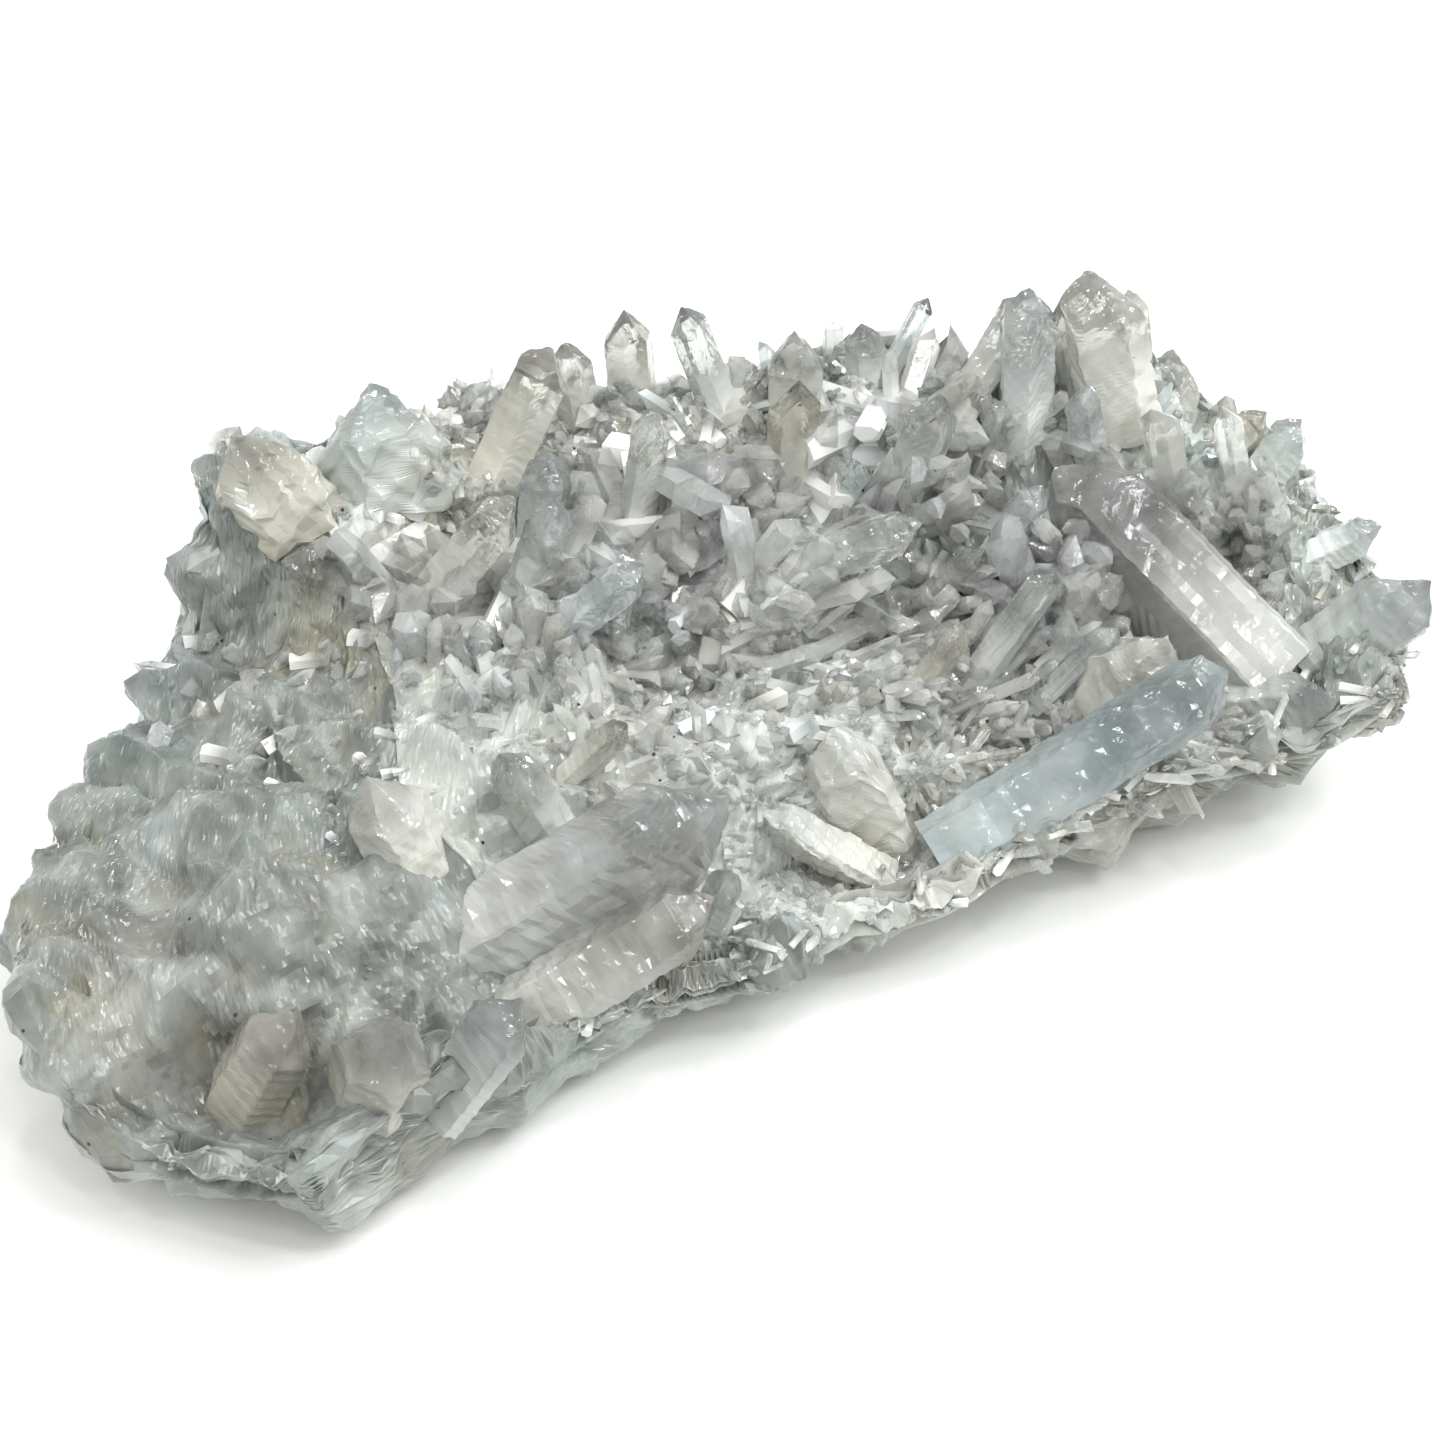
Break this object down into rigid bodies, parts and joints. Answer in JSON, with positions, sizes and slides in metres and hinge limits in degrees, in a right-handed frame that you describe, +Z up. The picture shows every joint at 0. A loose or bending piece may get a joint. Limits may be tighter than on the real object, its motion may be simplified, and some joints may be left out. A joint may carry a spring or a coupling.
{
  "type": "quartz crystal cluster",
  "caption": "Free-standing quartz crystal cluster: a low, elongated slab of milky vein quartz, high along its back, covered with clear and milky six-sided points, on a broad flat resting face.",
  "frame": {"origin": "on the flat resting face of the slab's underside, below the middle of the cluster", "axes": "+X along the slab towards its high far end with the peak, +Y from the thin front edge to the high back, +Z up"},
  "size_m": [0.2501, 0.1446, 0.0785],
  "materials": {
    "milky_quartz": "broken, translucent milky rock with a sugary sparkle",
    "clear_quartz": "glossy natural crystal faces, clear at the point and milky at the root"
  },
  "bodies": {
    "root": {"quartz_slab": "milky_quartz", "back_clear_prism": "clear_quartz", "back_stub_left": "clear_quartz", "back_broad_point": "clear_quartz", "back_tall_blade": "clear_quartz", "back_chisel_block": "clear_quartz", "back_grey_post": "clear_quartz", "back_ragged_stub": "clear_quartz", "back_slim_needle": "clear_quartz", "back_slim_companion": "clear_quartz", "peak_main_prism": "clear_quartz", "peak_left_prism": "clear_quartz", "peak_ramp": "clear_quartz", "peak_right_spur": "clear_quartz", "peak_front_chip": "clear_quartz", "great_leaning_prism": "clear_quartz", "rim_north_block": "clear_quartz", "rim_east_block": "clear_quartz", "rim_smoky_point": "clear_quartz", "rim_sparkle_point": "clear_quartz", "right_end_block": "clear_quartz", "right_end_lower": "clear_quartz", "grey_round_prism": "clear_quartz", "slim_blade": "clear_quartz", "small_post": "clear_quartz", "beige_hex": "clear_quartz", "lavender_prism": "clear_quartz", "bright_wedge": "clear_quartz", "broad_dome": "clear_quartz", "radiating_long": "clear_quartz", "radiating_beige": "clear_quartz", "radiating_left": "clear_quartz", "radiating_upper": "clear_quartz", "radiating_middle": "clear_quartz", "flat_pale_prism": "clear_quartz", "glinting_prism": "clear_quartz", "centre_striped_prism": "clear_quartz", "left_blocky_prism": "clear_quartz", "left_beige_prism": "clear_quartz", "left_glossy_prism": "clear_quartz", "left_bright_tablet": "clear_quartz", "centre_left_blade": "clear_quartz", "block_top_prism": "clear_quartz", "block_end_prism": "clear_quartz", "great_front_prism": "clear_quartz", "front_twin_prism": "clear_quartz", "glassy_tablet": "clear_quartz", "glassy_tablet_companion": "clear_quartz", "oval_chip": "clear_quartz", "round_pale_prism": "clear_quartz", "lower_right_blade": "clear_quartz", "white_block": "clear_quartz", "front_beige_point": "clear_quartz", "front_arch_prism": "clear_quartz", "front_corner_prism": "clear_quartz", "white_ledge": "clear_quartz"}
  },
  "joints": []
}
